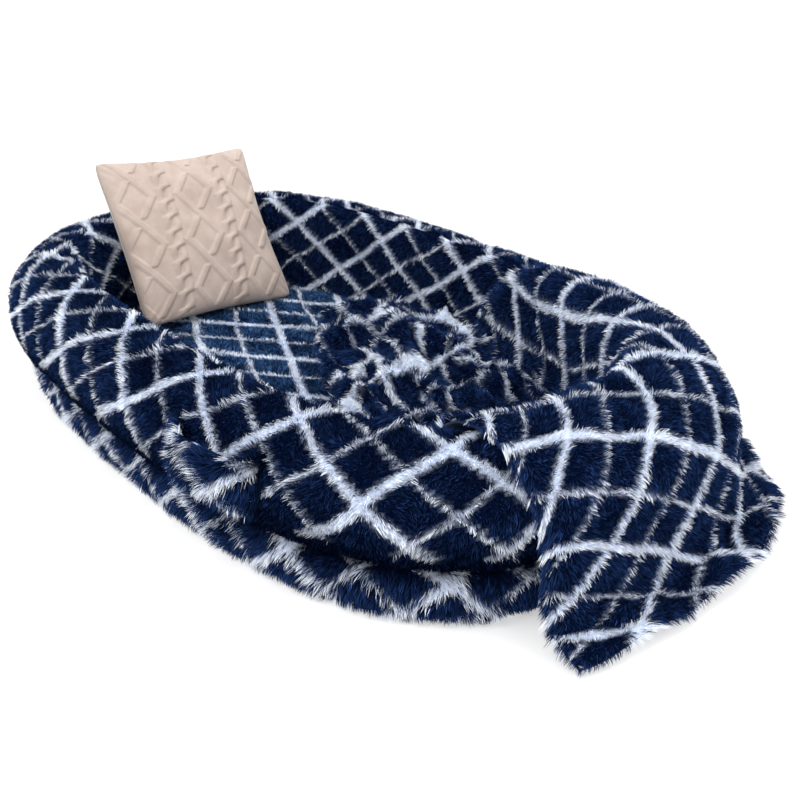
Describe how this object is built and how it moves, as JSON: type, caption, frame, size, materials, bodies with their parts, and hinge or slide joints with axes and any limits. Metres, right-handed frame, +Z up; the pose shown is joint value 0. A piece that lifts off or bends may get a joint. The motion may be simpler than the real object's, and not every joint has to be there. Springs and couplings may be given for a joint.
{
  "type": "plush pet bed",
  "caption": "Person-size oval plush nest bed with a thick bolster rim, front book pocket, lined plush blanket over the foot end and square cable-knit pillow.",
  "frame": {"origin": "centre of the flat face that the bed rests on", "axes": "+X to the foot end, where the blanket lies, -X to the head end, where the pillow leans, +Y to the back, -Y to the front with the book pocket, +Z up"},
  "size_m": [1.936, 1.1912, 0.4676],
  "materials": {
    "long_plush": "long-pile faux fur, dark navy with a white lattice",
    "short_plush": "short-pile plush, navy with a white grid",
    "blanket_plush": "medium-pile faux fur, navy with a white lattice",
    "blanket_lining": "smooth brushed lining, navy",
    "knit": "beige plush knit with raised cables and diamonds",
    "pillow_back_cloth": "plain beige brushed cloth",
    "pillow_zip": "beige coil zip",
    "sole_cloth": "dark non-woven cloth with grip dots",
    "liner_cloth": "plain white liner cloth",
    "fibre_fill": "white fibre wadding",
    "foam": "open-cell cushion foam",
    "zip_tape": "woven navy tape",
    "zip_coil": "moulded nylon coil, navy",
    "zip_metal": "nickel-plated zinc"
  },
  "bodies": {
    "root": {"anti_slip_sole": "sole_cloth", "base_band": "long_plush", "base_filling": "fibre_fill", "base_foam": "foam", "pad_core": "fibre_fill", "pad_cover": "short_plush", "rim_outer_panel": "long_plush", "rim_inner_panel": "long_plush", "rim_liner": "liner_cloth", "rim_filling": "fibre_fill", "book_pocket": "long_plush", "zip_tape_upper": "zip_tape", "zip_tape_lower": "zip_tape", "zip_coil": "zip_coil", "zip_stop_right": "zip_metal", "zip_stop_left": "zip_metal"},
    "zip_slider": {"zip_slider": "zip_metal"},
    "zip_pull": {"zip_pull": "zip_metal"},
    "blanket": {"blanket_plush": "blanket_plush", "blanket_lining": "blanket_lining"},
    "pillow": {"pillow_front": "knit", "pillow_back": "pillow_back_cloth", "pillow_inner": "fibre_fill", "pillow_zip_chain": "pillow_zip"},
    "pillow_zip_slider": {"pillow_zip_slider": "zip_metal"}
  },
  "joints": [
    {"name": "cover_zip_slide", "type": "slide", "parent": "root", "child": "zip_slider", "axis": [-1, 0, 0], "range_m": [0, 0.556]},
    {"name": "zip_pull_hinge", "type": "hinge", "parent": "zip_slider", "child": "zip_pull", "pos_m": [0.278, 0.52525, 0.06], "axis": [0, 0, 1], "range_deg": [-150, 0]},
    {"name": "blanket_lift", "type": "slide", "parent": "root", "child": "blanket", "axis": [0, 0, 1], "range_m": [0, 0.4]},
    {"name": "pillow_lift", "type": "slide", "parent": "root", "child": "pillow", "axis": [0, 0, 1], "range_m": [0, 0.45]},
    {"name": "pillow_zip_slide", "type": "slide", "parent": "pillow", "child": "pillow_zip_slider", "axis": [0.0016, -0.9987, 0.0512], "range_m": [0, 0.28]}
  ]
}
